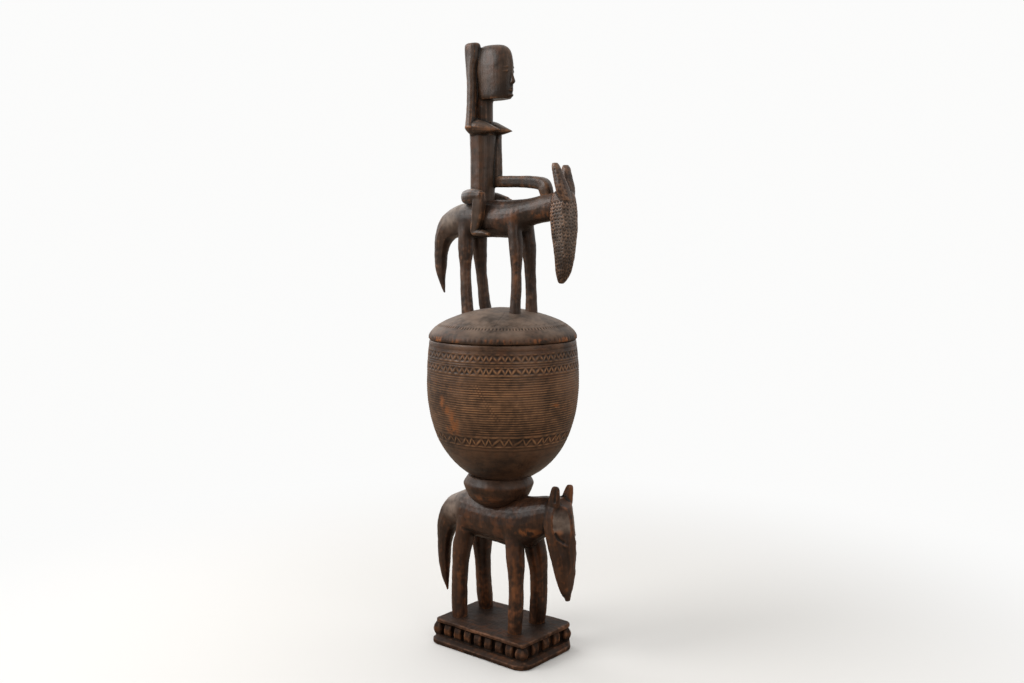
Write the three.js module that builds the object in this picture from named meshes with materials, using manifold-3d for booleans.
// A carved wooden figural vessel: a framed plinth carries a horse, the horse carries a lidded bowl,
// and the lid carries a second horse with a rider. Millimetres, +Z up, both horses face +X,
// and the origin is the middle of the plinth's underside.
import * as THREE from "three";
import { mergeVertices } from "three/addons/utils/BufferGeometryUtils.js";
import Module from "manifold-3d";

const wasm = await Module();
wasm.setup();

// Clearances
const SEAM = 0.3; // between touching pieces of one carving
const RIM_GAP = 0.6; // between the lid's flat rim and the bowl's rim
const LIP_CLEARANCE = 1.5; // all round, between the lid's lip and the bowl's mouth

// Plinth: two slabs with a beaded frieze between them, a little wider in front
const PLINTH_LENGTH = 195;
const PLINTH_REAR_WIDTH = 126;
const PLINTH_FRONT_WIDTH = 136;
const PLINTH_REAR_OFFSET = -3; // the rear edge sits a little towards the right
const PLINTH_FOOT = { rear: 6, right: 8, front: 8 }; // how far the bottom slab runs out past the top one
const FRIEZE_FOOT = { rear: 8, right: 0, front: 0 };
const FOOT_EDGE = 8; // height of the bottom slab's side, under its sloping ledge
// corner radii: rear right, front right, front left, rear left
const PLINTH_CORNERS = [10, 3, 15, 8];
const FOOT_CORNERS = [18, 24, 28, 12];
const FLUSH = { rear: 0, right: 0, front: 0 };
const PLINTH_CURVE_STEPS = 5;
const BOTTOM_SLAB = 12;
const FRIEZE_HEIGHT = 22.5;
const TOP_SLAB = 7;
const SLAB_EDGE = 1.5; // rounding of the slabs' edges
const FRIEZE_RECESS = 11;
const BEAD_WIDTH = 16;
const BEAD_BELLY = 2.2; // how far a bead swells at its middle
const BEAD_SET_BACK = 2.5; // from the slab's edge to a bead's belly
const LONG_SIDE_BEADS = 9;
const SHORT_SIDE_BEADS = 5;

// The lower horse stands on the plinth
const LOWER_HORSE = {
  legLength: 134,
  bodyHeight: 82,
  bodyWidth: 74,
  rumpX: -98,
  rumpLift: 5,
  withers: 5, // how far the back rises over the forelegs
  chestX: 84,
  neckRise: 15.5, // the neck's base over the body's middle line
  neckDepth: 73,
  neckWidth: 64,
  pollRise: 27,
  pollDepth: 54,
  pollWidth: 50,
  pollX: 112,
  // each leg: the middle of its hip and of its foot, its bow along X and its girth
  rightHind: { hipX: -62, footX: -70, bow: -8, girth: 1 },
  leftHind: { hipX: -62, footX: -65, bow: -4, girth: 1 },
  rightFore: { hipX: 38, footX: 50.5, bow: 5, girth: 0.91 },
  leftFore: { hipX: 42, footX: 48, bow: 11, girth: 1.06 },
  hipWidth: 33,
  shinWidth: 27,
  footWidth: 25,
  stance: 62,
  tailLength: 151,
  tailReach: 37,
  tailRoot: 54,
  headX: 117,
  muzzleX: 133.5,
  headBow: 1, // how far the nose stands forward of a straight line
  headLength: 167,
  headDepth: 45,
  headWidth: 59,
  headSquareness: 2.6,
  headTaper: 1.06, // under 1 keeps the head broad towards the muzzle
  earRootDrop: 20, // under the top of the head
  earRootSpread: 32,
  earTipX: 125,
  rightEar: { rootX: 118, spread: 40, height: 23 },
  leftEar: { rootX: 118, spread: 37, height: 19.5 },
  earDepth: 20,
  earThickness: 13,
};

// The cushion is the pad that the bowl rests on, drawn in below its ridge
const CUSHION_X = -7;
const CUSHION_Y = -3;
const CUSHION_RIDGE_RADIUS = 59;
const CUSHION_TOP_RADIUS = 51;
const CUSHION_FOOT_RADIUS = 38;
const CUSHION_TOP_HEIGHT = 35; // over the horse's back
const CUSHION_RIDGE_HEIGHT = 21;
const CUSHION_WRAP = 13; // how far it reaches down the horse's sides
const CUSHION_BULGE = 3; // of its underside, past a straight flare
const CUSHION_RIDGE_EDGE = 4; // height of the ridge's rounding, over and under it
const CUSHION_RIDGE_ROUND = 1; // how far the rounding comes in under the ridge

// Bowl
const BOWL_RADIUS = 125.8;
const BOWL_FOOT_RADIUS = 51;
const BOWL_BELLY_HEIGHT = 157; // foot to the widest place
const BOWL_SHOULDER_HEIGHT = 70; // the widest place to the rim
const BOWL_DRAW_IN = 5; // how far the rim is drawn in from the widest place
const BOWL_FULLNESS = 2.15; // 2 is an ellipse, more is fuller
const BOWL_WALL = 11;
const BOWL_FLOOR = 19;

// Lid
const LID_OVERHANG = 1.4; // past the bowl's rim
const LID_EDGE = 4;
const LID_RISE = 47;
const LID_FULLNESS = 1.7;
const LID_HOLLOW_DEPTH = 28;
const LID_HOLLOW_INSET = 2; // of the hollow's edge inside the lip
const LIP_DEPTH = 14;
const LIP_WALL = 8;
const LIP_EDGE = 1; // the lip's lower edge is taken off by this, and by twice it in height

// The upper horse stands on the lid
const UPPER_HORSE = {
  legLength: 114,
  bodyHeight: 61,
  bodyWidth: 58,
  rumpX: -98,
  rumpLift: -2,
  withers: 0,
  chestX: 60,
  neckRise: 10,
  neckDepth: 45,
  neckWidth: 42,
  pollRise: 19,
  pollDepth: 44,
  pollWidth: 32,
  pollX: 112,
  rightHind: { hipX: -65, footX: -58, bow: -4, girth: 1 },
  leftHind: { hipX: -65, footX: -55, bow: -4, girth: 1 },
  rightFore: { hipX: 35.5, footX: 42.5, bow: 5, girth: 0.9 },
  leftFore: { hipX: 35, footX: 43, bow: 3, girth: 0.98 },
  hipWidth: 25,
  shinWidth: 19,
  footWidth: 20.5,
  stance: 43,
  tailLength: 125,
  tailReach: 41,
  tailRoot: 50,
  headX: 124,
  muzzleX: 119.5,
  headBow: 5,
  headLength: 144,
  headDepth: 36,
  headWidth: 39,
  headSquareness: 4,
  headTaper: 0.72,
  earRootDrop: 14,
  earRootSpread: 16,
  earTipX: 117,
  rightEar: { rootX: 134, spread: 29, height: 43.5 },
  leftEar: { rootX: 128, spread: 27, height: 41.5 },
  earDepth: 18,
  earThickness: 24,
};

// Rider: heights are over the upper horse's back, and the rider's right is -Y
const RIDER_X = -43;
const SEAT_DEPTH = 8; // how far the torso is carved down round the horse's back
const TORSO_WIDTH = 40;
const TORSO_DEPTH = 37;
const SHOULDER_HEIGHT = 117;
const SHOULDER_SPAN = 73;
const SHOULDER_DEPTH = 38;
const SHOULDER_THICKNESS = 26;
const CHEST_TIP_X = 6.5;
const CHEST_TIP_SPREAD = 33;
const CHEST_TIP_DROP = 6;
const NECK_WIDTH = 29;
const NECK_X = -41;
const JAW_HEIGHT = 161;
const HEAD_HEIGHT = 87;
const HEAD_LENGTH = 76;
const HEAD_WIDTH = 38;
const HEAD_X = -18;
const CROWN_SLOPE = 2.4; // how far the crown leans back
const NOSE_REACH = 5.5;
const NOSE_WIDTH = 9;
const ARM_WIDTH = 14;
const RAISED_ARM_X = -45.5; // where the raised arm leaves the shoulder
const RAISED_ARM_Y = -28;
const RAISED_WRIST_DROP = 42; // under the fist's top
const FIST_WIDTH = 27;
const FIST_RISE = 5; // of the raised fist over the crown
const FIST_X = -51;
const FIST_Y = -15;
const WRIST_BACK = 1; // behind the fist
const LEFT_ARM_Y = 29;
const FOREARM_WIDTH = 19;
const ELBOW_X = -25;
const ELBOW_Y = 15;
const ELBOW_HEIGHT = 30.5;
const HAND_X = 92;
const HAND_Y = 3;
const HAND_HEIGHT = 4;
const KNUCKLE_BACK = 3; // behind the hand's front
const PALM_BACK = 1;
const WRIST_DROP = 6; // of the wrist under the elbow
const FOREARM_SAG = 2; // of its middle under the elbow
const THIGH_WIDTH = 24;
const THIGH_HEIGHT = 6;
const BUTTOCK_DROP = 1; // under the thigh's middle
const BUTTOCK_REACH = 28; // behind the torso's middle
const HIP_SPREAD = 30;
const KNEE_X = -17;
const KNEE_SPREAD = 68;
const LEFT_KNEE_DROP = 9; // the left leg hangs a little lower
const ANKLE_X = -32;
const ANKLE_SPREAD = 63;
const SHIN_LENGTH = 55;
const FOOT_LENGTH = 42;
const FOOT_THICKNESS = 10;

// Facets
const ROUND_SIDES = 48;
const BODY_SIDES = 16;
const SKULL_SIDES = 16;
const HEAD_SIDES = 12;
const LIMB_SIDES = 10;
const SMALL_SIDES = 8; // beads, ears and the nose

// Powers of the sections: 2 is an ellipse, 4 is nearly square
const BODY_POWER = 2.2;
const LEG_POWER = 2.3;
const TORSO_POWER = 2.6;
const SKULL_POWER = 2.3;

// Heights where one piece seats on the next
const PLINTH_HEIGHT = BOTTOM_SLAB + FRIEZE_HEIGHT + TOP_SLAB;
const LOWER_GROUND = PLINTH_HEIGHT + SEAM;
const LOWER_BACK = LOWER_GROUND + LOWER_HORSE.legLength + LOWER_HORSE.bodyHeight;
const CUSHION_TOP = LOWER_BACK + CUSHION_TOP_HEIGHT;
const BOWL_FOOT = CUSHION_TOP + SEAM;
const BOWL_BELLY = BOWL_FOOT + BOWL_BELLY_HEIGHT;
const BOWL_RIM = BOWL_BELLY + BOWL_SHOULDER_HEIGHT;
const MOUTH_RADIUS = BOWL_RADIUS - BOWL_DRAW_IN - BOWL_WALL;
const LID_UNDERSIDE = BOWL_RIM + RIM_GAP;
const LID_RADIUS = BOWL_RADIUS - BOWL_DRAW_IN + LID_OVERHANG;
const LIP_RADIUS = MOUTH_RADIUS - LIP_CLEARANCE;
const LID_TOP = LID_UNDERSIDE + LID_EDGE + LID_RISE;
const UPPER_BACK = LID_TOP + UPPER_HORSE.legLength + UPPER_HORSE.bodyHeight;

const FORWARD = new THREE.Vector3(1, 0, 0);
const SIDEWAYS = new THREE.Vector3(0, 1, 0);
const UP = new THREE.Vector3(0, 0, 1);
const DOWN = new THREE.Vector3(0, 0, -1);

function toSolid(geometry) {
  const bare = geometry.clone();
  bare.deleteAttribute("normal");
  bare.deleteAttribute("uv");
  const merged = mergeVertices(bare, 1e-4);
  return new wasm.Manifold(
    new wasm.Mesh({
      numProp: 3,
      vertProperties: new Float32Array(merged.attributes.position.array),
      triVerts: new Uint32Array(merged.index.array),
    }),
  );
}

function toGeometry(solid) {
  const mesh = solid.getMesh();
  const geometry = new THREE.BufferGeometry();
  geometry.setAttribute("position", new THREE.BufferAttribute(mesh.vertProperties, 3));
  geometry.setIndex(new THREE.BufferAttribute(mesh.triVerts, 1));
  geometry.computeVertexNormals();
  return geometry;
}

function join(solids) {
  return solids.reduce((whole, piece) => whole.add(piece));
}

// One cross-section: a superellipse about a centre. Power 2 is an ellipse, 4 is nearly square.
function section(centre, along, across, deep, wide, sides, power) {
  const side = across.clone().addScaledVector(along, -across.dot(along)).normalize();
  const normal = along.clone().cross(side);
  const bend = (value) => Math.sign(value) * Math.abs(value) ** (2 / power);
  return Array.from({ length: sides }, (_, i) => {
    const angle = ((i + 0.5) / sides) * Math.PI * 2;
    return centre
      .clone()
      .addScaledVector(side, wide * bend(Math.cos(angle)))
      .addScaledVector(normal, deep * bend(Math.sin(angle)));
  });
}

// A closed skin over a row of sections, each end closed by a fan.
function skin(rings) {
  const sides = rings[0].length;
  const last = (rings.length - 1) * sides;
  const middle = (ring) =>
    ring.reduce((sum, point) => sum.add(point), new THREE.Vector3()).divideScalar(sides);
  const points = [...rings.flat(), middle(rings[0]), middle(rings.at(-1))];
  const index = [];
  for (let s = 0; s < sides; s++) {
    const next = (s + 1) % sides;
    for (let row = 0; row < last; row += sides) {
      index.push(row + s, row + next, row + sides + next);
      index.push(row + s, row + sides + next, row + sides + s);
    }
    index.push(points.length - 2, next, s);
    index.push(points.length - 1, last + s, last + next);
  }
  const geometry = new THREE.BufferGeometry().setFromPoints(points);
  geometry.setIndex(index);
  return toSolid(geometry);
}

// A limb carved along a smooth path. A station is [x, y, z, half depth, half width], facing fixes
// the plane of every section, and grow swells the whole limb to cut a clearance with it.
function limb(stations, options = {}) {
  const { sides = LIMB_SIDES, facing, across = SIDEWAYS, power = 2, steps = 2, grow = 0 } = options;
  const path = new THREE.CatmullRomCurve3(
    stations.map(([x, y, z]) => new THREE.Vector3(x, y, z)),
    false,
    "catmullrom",
    0.5,
  );
  const girth = new THREE.CatmullRomCurve3(
    stations.map(([, , , deep, wide]) => new THREE.Vector3(deep, wide, 0)),
    false,
    "catmullrom",
    0.5,
  );
  const count = (stations.length - 1) * steps;
  const rings = [];
  for (let i = 0; i <= count; i++) {
    const t = i / count;
    const along = facing ?? path.getTangent(t);
    const centre = path.getPoint(t);
    if (i === 0) centre.addScaledVector(along, -grow);
    if (i === count) centre.addScaledVector(along, grow);
    const { x: deep, y: wide } = girth.getPoint(t);
    rings.push(section(centre, along, across, deep + grow, wide + grow, sides, power));
  }
  return skin(rings);
}

// A solid of revolution about Z from [radius, height] points that run up the outside.
function revolve(profile, x = 0, y = 0, sides = ROUND_SIDES) {
  const geometry = new THREE.LatheGeometry(
    profile.map(([radius, height]) => new THREE.Vector2(radius, height)),
    sides,
  );
  geometry.rotateX(Math.PI / 2);
  geometry.translate(x, y, 0);
  return toSolid(geometry);
}

// The plinth's outline, moved in from the slabs' edge and run out on three sides: a trapezium
// whose corners are each rounded by their own radius.
function plinthOutline(inset, run, radii = PLINTH_CORNERS) {
  const rear = -PLINTH_LENGTH / 2 - run.rear + inset;
  const front = PLINTH_LENGTH / 2 + run.front - inset;
  const rearHalf = PLINTH_REAR_WIDTH / 2 - inset;
  const frontHalf = PLINTH_FRONT_WIDTH / 2 - inset;
  const corners = [
    [rear, PLINTH_REAR_OFFSET - rearHalf - run.right],
    [front, -frontHalf - run.right],
    [front, frontHalf],
    [rear, PLINTH_REAR_OFFSET + rearHalf],
  ].map(([x, y]) => new THREE.Vector2(x, y));
  const shape = new THREE.Shape();
  corners.forEach((corner, i) => {
    const radius = Math.max(radii[i] - inset, SLAB_EDGE);
    const before = corners[(i + 3) % 4].clone().sub(corner).setLength(radius).add(corner);
    const after = corners[(i + 1) % 4].clone().sub(corner).setLength(radius).add(corner);
    if (i === 0) shape.moveTo(before.x, before.y);
    else shape.lineTo(before.x, before.y);
    shape.quadraticCurveTo(corner.x, corner.y, after.x, after.y);
  });
  shape.closePath();
  return { shape, corners };
}

function slab(bottom, height, run = FLUSH, radii = PLINTH_CORNERS) {
  const geometry = new THREE.ExtrudeGeometry(plinthOutline(SLAB_EDGE, run, radii).shape, {
    depth: height - 2 * SLAB_EDGE,
    bevelThickness: SLAB_EDGE,
    bevelSize: SLAB_EDGE,
    bevelSegments: 2,
    curveSegments: PLINTH_CURVE_STEPS,
  });
  geometry.translate(0, 0, bottom + SLAB_EDGE);
  return toSolid(geometry);
}

function bead(x, y) {
  const bottom = FOOT_EDGE - SLAB_EDGE;
  const top = BOTTOM_SLAB + FRIEZE_HEIGHT + SLAB_EDGE;
  const end = BEAD_WIDTH / 2 - BEAD_BELLY;
  const swelling = [0, 0.3, 0.7, 1].map((t) => [
    end + BEAD_BELLY * Math.sin(t * Math.PI),
    bottom + (top - bottom) * t,
  ]);
  return revolve([[0, bottom], ...swelling, [0, top]], x, y, SMALL_SIDES);
}

function plinth() {
  const core = new THREE.ExtrudeGeometry(plinthOutline(FRIEZE_RECESS, FRIEZE_FOOT).shape, {
    depth: FRIEZE_HEIGHT + 2 * SLAB_EDGE,
    bevelEnabled: false,
    curveSegments: PLINTH_CURVE_STEPS,
  });
  core.translate(0, 0, BOTTOM_SLAB - SLAB_EDGE);
  const foot = wasm.Manifold.hull([
    slab(0, FOOT_EDGE, PLINTH_FOOT, FOOT_CORNERS),
    slab(FOOT_EDGE, BOTTOM_SLAB - FOOT_EDGE),
  ]);
  const pieces = [
    foot,
    toSolid(core),
    slab(BOTTOM_SLAB + FRIEZE_HEIGHT, TOP_SLAB),
  ];
  const { corners } = plinthOutline(BEAD_SET_BACK + BEAD_WIDTH / 2, FRIEZE_FOOT);
  const counts = [LONG_SIDE_BEADS, SHORT_SIDE_BEADS, LONG_SIDE_BEADS, SHORT_SIDE_BEADS];
  corners.forEach((corner, i) => {
    const next = corners[(i + 1) % 4];
    for (let n = 0; n < counts[i] - 1; n++) {
      const place = corner.clone().lerp(next, n / (counts[i] - 1));
      pieces.push(bead(place.x, place.y));
    }
  });
  return join(pieces);
}

// A standing horse. Ground is the height under its feet, sink is how far the legs run below that
// to meet a curved seat, and grow swells it to cut a clearance in what touches it.
function horse(size, ground, sink = 0, grow = 0) {
  const halfHeight = size.bodyHeight / 2;
  const halfWidth = size.bodyWidth / 2;
  const middle = ground + size.legLength + halfHeight;
  const length = size.chestX - size.rumpX;
  const barrel = [0, 0.05, 0.17, 0.5, 0.82].map((t, i) => [
    size.rumpX + length * t,
    0,
    middle + size.rumpLift * [0.8, 1, 0.5, 0, 0][i] + size.withers * [0, 0, 0, 0, 0.6][i],
    halfHeight * [0.42, 0.74, 0.95, 1, 1][i] + size.withers * [0, 0, 0, 0, 0.4][i],
    halfWidth * [0.45, 0.74, 0.94, 1, 0.97][i],
  ]);
  const neck = [
    [size.chestX, 0, middle + size.neckRise, size.neckDepth / 2, size.neckWidth / 2],
    [size.pollX, 0, middle + size.pollRise, size.pollDepth / 2, size.pollWidth / 2],
  ];
  return join([
    limb([...barrel, ...neck], { sides: BODY_SIDES, facing: FORWARD, power: BODY_POWER, grow }),
    horseTail(size, middle, grow),
    horseHead(size, middle, grow),
    ...[-1, 1].flatMap((side) => [
      horseLeg(size, side, side > 0 ? size.leftHind : size.rightHind, middle, ground - sink, grow),
      horseLeg(size, side, side > 0 ? size.leftFore : size.rightFore, middle, ground - sink, grow),
      horseEar(size, side, middle, grow),
    ]),
  ]);
}

function horseTail(size, middle, grow) {
  const root = size.tailRoot / 2;
  const fall = [0, 0.05, 0.2, 0.42, 0.63, 0.82, 1];
  const reach = [-0.5, 0.18, 0.74, 0.97, 1, 0.94, 0.8];
  const girth = [1.2, 1, 0.7, 0.49, 0.41, 0.26, 0.06];
  const lift = [1, 0.8, 0.3, 0, 0, 0, 0];
  const stations = fall.map((t, i) => [
    size.rumpX - size.tailReach * reach[i],
    0,
    middle - size.tailLength * t + size.rumpLift * lift[i],
    root * girth[i],
    root * girth[i] * 0.92,
  ]);
  return limb(stations, { grow });
}

function horseHead(size, middle, grow) {
  const top = middle + size.pollRise + size.pollDepth / 2;
  const fall = [0, 0.05, 0.13, 0.26, 0.43, 0.61, 0.74, 0.89, 0.97, 1];
  const girth = [0.53, 0.78, 0.92, 1, 0.92, 0.76, 0.63, 0.41, 0.21, 0.09];
  const stations = fall.map((t, i) => [
    THREE.MathUtils.lerp(size.headX, size.muzzleX, t) + size.headBow * Math.sin(t ** 2 * Math.PI),
    0,
    top - size.headLength * t,
    (size.headDepth / 2) * girth[i] ** size.headTaper,
    (size.headWidth / 2) * girth[i] ** size.headTaper,
  ]);
  const power = size.headSquareness;
  return limb(stations, { sides: HEAD_SIDES, facing: DOWN, power, steps: 1, grow });
}

function horseEar(size, side, middle, grow) {
  const top = middle + size.pollRise + size.pollDepth / 2;
  const { rootX, spread, height } = side > 0 ? size.leftEar : size.rightEar;
  const rise = [0, 0.25, 0.5, 0.7, 0.9, 1];
  const deep = [0.75, 1, 0.86, 0.7, 0.46, 0.26];
  const wide = [0.75, 0.92, 0.78, 0.62, 0.44, 0.26];
  const stations = rise.map((t, i) => [
    THREE.MathUtils.lerp(rootX, size.earTipX, t),
    (side * THREE.MathUtils.lerp(size.earRootSpread, spread, t)) / 2,
    top + THREE.MathUtils.lerp(-size.earRootDrop, height, t),
    (size.earDepth / 2) * deep[i],
    (size.earThickness / 2) * wide[i],
  ]);
  return limb(stations, { sides: SMALL_SIDES, facing: UP, steps: 1, grow });
}

function horseLeg(size, side, { hipX, footX, bow, girth }, middle, foot, grow) {
  const hipY = (side * (size.bodyWidth - size.hipWidth)) / 2 - side;
  const footY = (side * size.stance) / 2;
  const drop = middle - foot;
  const fall = [0, 0.3, 0.52, 0.8, 1];
  const width = [size.hipWidth, size.hipWidth, size.shinWidth, size.shinWidth, size.footWidth];
  const stations = fall.map((t, i) => [
    THREE.MathUtils.lerp(hipX, footX, t) + bow * Math.sin(t * Math.PI),
    THREE.MathUtils.lerp(hipY, footY, t),
    middle - drop * t,
    (width[i] * girth) / 2,
    (width[i] * girth) / 2,
  ]);
  return limb(stations, { facing: DOWN, power: LEG_POWER, grow });
}

function cushion() {
  const ridge = LOWER_BACK + CUSHION_RIDGE_HEIGHT;
  const foot = LOWER_BACK - CUSHION_WRAP;
  const pad = revolve(
    [
      [0, foot],
      [CUSHION_FOOT_RADIUS, foot],
      [
        (CUSHION_FOOT_RADIUS + CUSHION_RIDGE_RADIUS) / 2 + CUSHION_BULGE,
        (foot + ridge) / 2 - CUSHION_BULGE,
      ],
      [CUSHION_RIDGE_RADIUS - CUSHION_RIDGE_ROUND, ridge - CUSHION_RIDGE_EDGE],
      [CUSHION_RIDGE_RADIUS, ridge],
      [CUSHION_RIDGE_RADIUS - 2 * CUSHION_RIDGE_ROUND, ridge + CUSHION_RIDGE_EDGE],
      [CUSHION_TOP_RADIUS, CUSHION_TOP],
      [0, CUSHION_TOP],
    ],
    CUSHION_X,
    CUSHION_Y,
  );
  return pad.subtract(horse(LOWER_HORSE, LOWER_GROUND, 0, SEAM));
}

// The bowl's outer radius at a height over its foot: a full curve up to the belly, then drawn in.
function bowlRadius(height) {
  if (height > BOWL_BELLY_HEIGHT) {
    const up = (height - BOWL_BELLY_HEIGHT) / BOWL_SHOULDER_HEIGHT;
    return BOWL_RADIUS - BOWL_DRAW_IN * up ** 2;
  }
  const foot = (1 - (BOWL_FOOT_RADIUS / BOWL_RADIUS) ** BOWL_FULLNESS) ** (1 / BOWL_FULLNESS);
  const down = (1 - height / BOWL_BELLY_HEIGHT) * foot;
  return BOWL_RADIUS * (1 - down ** BOWL_FULLNESS) ** (1 / BOWL_FULLNESS);
}

function bowl() {
  const outer = [];
  const inner = [];
  for (const t of [0, 0.05, 0.11, 0.18, 0.27, 0.38, 0.52, 0.7, 1]) {
    const height = BOWL_BELLY_HEIGHT * t;
    outer.push([bowlRadius(height), BOWL_FOOT + height]);
    const inside = BOWL_FLOOR + (BOWL_BELLY_HEIGHT - BOWL_FLOOR) * t;
    if (t > 0.04) inner.push([bowlRadius(inside) - BOWL_WALL, BOWL_FOOT + inside]);
  }
  for (const t of [0.4, 0.75, 1]) {
    const height = BOWL_BELLY_HEIGHT + BOWL_SHOULDER_HEIGHT * t;
    outer.push([bowlRadius(height), BOWL_FOOT + height]);
    inner.push([bowlRadius(height) - BOWL_WALL, BOWL_FOOT + height]);
  }
  const floor = BOWL_FOOT + BOWL_FLOOR;
  return revolve([[0, BOWL_FOOT], ...outer, ...inner.reverse(), [0, floor]]);
}

// The lid's upper surface at a radius.
function lidHeight(radius) {
  const out = Math.min(radius / LID_RADIUS, 1);
  return LID_UNDERSIDE + LID_EDGE + LID_RISE * (1 - out ** LID_FULLNESS) ** (1 / LID_FULLNESS);
}

function lidTop(raise) {
  const radii = [1, 0.985, 0.95, 0.87, 0.76, 0.62, 0.45, 0.25, 0].map((t) => LID_RADIUS * t);
  return radii.map((radius) => [radius, lidHeight(radius) + raise]);
}

function lidDome() {
  const hollow = LIP_RADIUS - LIP_WALL - LID_HOLLOW_INSET;
  const underside = [0, 0.35, 0.65, 0.9, 1].map((t) => [
    hollow * t,
    LID_UNDERSIDE + LID_HOLLOW_DEPTH * Math.sqrt(1 - t ** 2),
  ]);
  return revolve([...underside, [LID_RADIUS, LID_UNDERSIDE], ...lidTop(0)]);
}

function lidLip() {
  const top = LID_UNDERSIDE - SEAM;
  const bottom = BOWL_RIM - LIP_DEPTH;
  const inner = LIP_RADIUS - LIP_WALL;
  return revolve([
    [inner, top],
    [inner, bottom],
    [LIP_RADIUS - LIP_EDGE, bottom],
    [LIP_RADIUS, bottom + 2 * LIP_EDGE],
    [LIP_RADIUS, top],
    [inner, top],
  ]);
}

// Everything the upper horse's legs must stay out of: the lid and its clearance.
function lidSeat() {
  const below = LID_UNDERSIDE - LIP_DEPTH;
  return revolve([[0, below], [LID_RADIUS, below], ...lidTop(SEAM * 1.3)]);
}

function upperHorse() {
  const sink = LID_RISE / 2;
  return horse(UPPER_HORSE, LID_TOP, sink).subtract(lidSeat());
}

function riderBody() {
  const seat = UPPER_BACK;
  const torso = [0, 0.22, 0.55, 0.93].map((t, i) => [
    RIDER_X,
    0,
    seat + THREE.MathUtils.lerp(-SEAT_DEPTH, SHOULDER_HEIGHT, t),
    (TORSO_DEPTH / 2) * [0.92, 0.98, 1, 1.04][i],
    (TORSO_WIDTH / 2) * [0.95, 1, 0.98, 1.05][i],
  ]);
  const lens = (t) => (1 - t ** 4) ** 0.5;
  const shoulders = [-1, -0.8, -0.4, 0, 0.4, 0.8, 1].map((t) => [
    RIDER_X - (SHOULDER_DEPTH / 12) * (1 - t ** 2),
    (t * SHOULDER_SPAN) / 2,
    seat + SHOULDER_HEIGHT,
    (SHOULDER_THICKNESS / 2) * (0.15 + lens(t)),
    (SHOULDER_DEPTH / 2) * (0.15 + lens(t)),
  ]);
  const neck = [0, 0.3, 1].map((t) => [
    NECK_X,
    0,
    seat + THREE.MathUtils.lerp(SHOULDER_HEIGHT, JAW_HEIGHT + NECK_WIDTH / 2, t),
    NECK_WIDTH / 2,
    NECK_WIDTH / 2,
  ]);
  return [
    limb(torso, { facing: UP, power: TORSO_POWER, steps: 1 }),
    limb(shoulders, { facing: SIDEWAYS, across: FORWARD, steps: 1, sides: HEAD_SIDES }),
    limb(neck, { facing: UP, power: TORSO_POWER, steps: 1 }),
    ...[-1, 1].map((side) => riderBreast(side, seat + SHOULDER_HEIGHT)),
  ];
}

function riderBreast(side, height) {
  const y = (side * CHEST_TIP_SPREAD) / 2;
  const root = RIDER_X + SHOULDER_DEPTH * 0.37;
  const stations = [
    [1, 0, 0.46, 0.6],
    [0.5, 0.33, 0.32, 0.44],
    [0, 1, 0.06, 0.06],
  ].map(([t, drop, deep, wide]) => [
    THREE.MathUtils.lerp(CHEST_TIP_X, root, t),
    y,
    height - CHEST_TIP_DROP * drop,
    SHOULDER_THICKNESS * deep,
    SHOULDER_THICKNESS * wide,
  ]);
  return limb(stations, { facing: FORWARD });
}

// A long-sided head on a level jaw, with a plain ridge for the nose.
function riderHead() {
  const jaw = UPPER_BACK + JAW_HEIGHT;
  const rise = [0, 0.06, 0.3, 0.62, 0.82, 0.93, 0.985, 1];
  const girth = [0.86, 0.94, 0.99, 1, 0.93, 0.78, 0.52, 0.25];
  const skull = rise.map((t, i) => [
    HEAD_X - CROWN_SLOPE * Math.max((t - 0.6) / 0.4, 0),
    0,
    jaw + HEAD_HEIGHT * t,
    (HEAD_LENGTH / 2) * girth[i],
    (HEAD_WIDTH / 2) * girth[i],
  ]);
  const face = HEAD_X + HEAD_LENGTH / 2;
  const nose = [
    [0.56, -1, 0.9, 0.35],
    [0.36, -0.25, 1.1, 0.45],
    [0.28, -0.5, 0.7, 0.5],
  ].map(([t, reach, deep, wide]) => [
    face + NOSE_REACH * reach,
    0,
    jaw + HEAD_HEIGHT * t,
    NOSE_REACH * deep,
    NOSE_WIDTH * wide,
  ]);
  return [
    limb(skull, { facing: UP, power: SKULL_POWER, steps: 1, sides: SKULL_SIDES }),
    limb(nose, { facing: DOWN, steps: 1, sides: SMALL_SIDES }),
  ];
}

// The right arm goes straight up from the shoulder, and its fist closes behind the crown.
function raisedArm() {
  const shoulder = UPPER_BACK + SHOULDER_HEIGHT;
  const top = UPPER_BACK + JAW_HEIGHT + HEAD_HEIGHT + FIST_RISE;
  const wrist = top - RAISED_WRIST_DROP;
  const arm = ARM_WIDTH / 2;
  const fist = FIST_WIDTH / 2;
  const upper = [
    [0, 0, 1.3],
    [0.27, 0.23, 1],
    [0.7, 0.46, 1],
  ].map(([t, inward, girth]) => [
    THREE.MathUtils.lerp(RAISED_ARM_X, FIST_X, t * 0.5),
    THREE.MathUtils.lerp(RAISED_ARM_Y, FIST_Y, inward),
    THREE.MathUtils.lerp(shoulder, wrist, t),
    arm * girth,
    arm * girth,
  ]);
  return limb([
    ...upper,
    [FIST_X - WRIST_BACK, THREE.MathUtils.lerp(RAISED_ARM_Y, FIST_Y, 0.7), wrist, arm * 1.15, arm],
    [FIST_X, FIST_Y, top - fist * 1.6, fist * 0.95, fist * 0.7],
    [FIST_X, FIST_Y, top - fist * 0.3, fist, fist * 0.7],
    [FIST_X, FIST_Y, top, fist * 0.75, fist * 0.45],
  ]);
}

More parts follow.
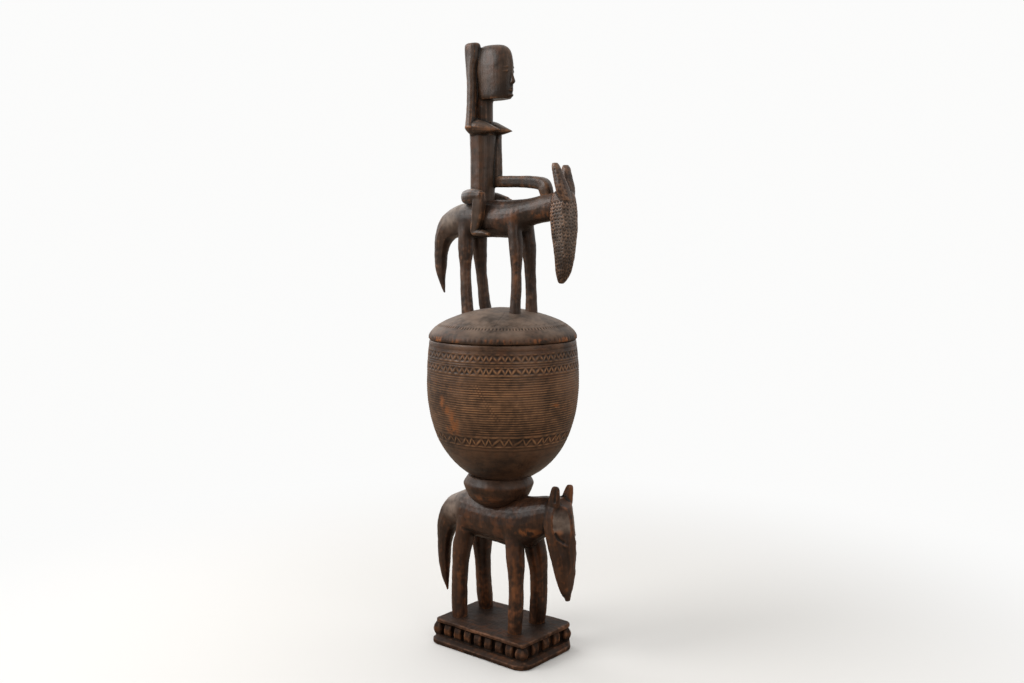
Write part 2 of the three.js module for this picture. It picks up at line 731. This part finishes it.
// The left arm lies down the torso to the elbow and reaches forward to the horse's neck.
function reachingArm() {
  const seat = UPPER_BACK;
  const arm = ARM_WIDTH / 2;
  const forearm = FOREARM_WIDTH / 2;
  const shoulder = seat + SHOULDER_HEIGHT - ARM_WIDTH / 2;
  const elbow = seat + ELBOW_HEIGHT;
  const wrist = elbow - WRIST_DROP;
  const upper = [0, 0.3, 1].map((t, i) => [
    THREE.MathUtils.lerp(RIDER_X + ARM_WIDTH / 3, ELBOW_X, [0, 0.66, 1][i]),
    THREE.MathUtils.lerp(LEFT_ARM_Y, ELBOW_Y, [0, 0.66, 1][i]),
    THREE.MathUtils.lerp(shoulder, elbow, t),
    arm * [1.2, 1.1, 1.2][i],
    arm * [1.2, 1.1, 1.2][i],
  ]);
  const lower = [
    [ELBOW_X, ELBOW_Y, elbow, forearm, forearm * 0.8],
    [(ELBOW_X + HAND_X) / 2, (ELBOW_Y + HAND_Y * 2) / 2, elbow - FOREARM_SAG, forearm, forearm * 0.8],
    [HAND_X - FOREARM_WIDTH, HAND_Y * 2, wrist, forearm * 1.05, forearm * 0.9],
    [HAND_X - KNUCKLE_BACK, HAND_Y, wrist - WRIST_DROP, forearm * 1.1, forearm * 0.9],
    [HAND_X - PALM_BACK, HAND_Y, seat + HAND_HEIGHT, forearm, forearm * 0.8],
  ];
  return [limb(upper, { steps: 1 }), limb(lower)];
}

function riderLeg(side) {
  const seat = UPPER_BACK + THIGH_HEIGHT;
  const bent = side > 0 ? seat - LEFT_KNEE_DROP : seat;
  const thigh = THIGH_WIDTH / 2;
  const hip = (side * HIP_SPREAD) / 2;
  const knee = (side * KNEE_SPREAD) / 2;
  const ankle = (side * ANKLE_SPREAD) / 2;
  const heel = seat - SHIN_LENGTH;
  const foot = FOOT_THICKNESS / 2;
  const upper = [
    [RIDER_X - BUTTOCK_REACH, hip, seat - BUTTOCK_DROP, thigh * 0.8, thigh * 0.7],
    [RIDER_X - BUTTOCK_REACH * 0.6, hip * 1.33, seat - BUTTOCK_DROP, thigh, thigh * 0.95],
    [RIDER_X + thigh / 2, (hip + knee) * 0.59, (seat + bent) / 2, thigh, thigh * 0.9],
    [KNEE_X, knee, bent, thigh * 0.75, thigh * 0.6],
  ];
  const calf = [(KNEE_X + ANKLE_X) / 2, (knee + ankle) / 2, seat - SHIN_LENGTH / 2];
  const shin = [
    [KNEE_X - thigh * 0.4, knee, bent + thigh / 2, thigh * 0.8, thigh * 0.55],
    [...calf, thigh * 0.9, thigh * 0.55],
    [ANKLE_X, ankle, heel, foot * 1.4, foot * 1.1],
  ];
  const sole = [
    [ANKLE_X - FOOT_LENGTH * 0.12, ankle, heel - foot, foot * 0.7, foot],
    [ANKLE_X, ankle, heel - foot, foot, foot * 1.2],
    [ANKLE_X + FOOT_LENGTH * 0.4, ankle, heel - foot, foot, foot * 1.3],
    [ANKLE_X + FOOT_LENGTH * 0.72, ankle, heel - foot * 1.4, foot * 0.5, foot * 0.8],
  ];
  return [limb(upper), limb(shin, { facing: DOWN }), limb(sole, { facing: FORWARD })];
}

function rider() {
  const whole = join([
    ...riderBody(),
    ...riderHead(),
    raisedArm(),
    ...reachingArm(),
    ...riderLeg(-1),
    ...riderLeg(1),
  ]);
  return whole.subtract(horse(UPPER_HORSE, LID_TOP, 0, SEAM));
}

function wood(name, solid, color, roughness) {
  const material = new THREE.MeshStandardMaterial({ color, roughness, metalness: 0 });
  const mesh = new THREE.Mesh(toGeometry(solid), material);
  mesh.name = name;
  return mesh;
}

const vessel = new THREE.Group();
vessel.add(
  wood("plinth", plinth(), 0x3a2a20, 0.5),
  wood("lower_horse", horse(LOWER_HORSE, LOWER_GROUND), 0x40302a, 0.42),
  wood("cushion", cushion(), 0x4a342a, 0.4),
  wood("bowl", bowl(), 0x54402f, 0.5),
);

const lid = new THREE.Group();
lid.add(
  wood("lid_lip", lidLip(), 0x4a3a2e, 0.6),
  wood("lid_dome", lidDome(), 0x4b3c32, 0.48),
  wood("upper_horse", upperHorse(), 0x3e2f28, 0.45),
  wood("rider", rider(), 0x3c2d26, 0.42),
);

const part = new THREE.Group();
part.add(vessel, lid);

export default part;
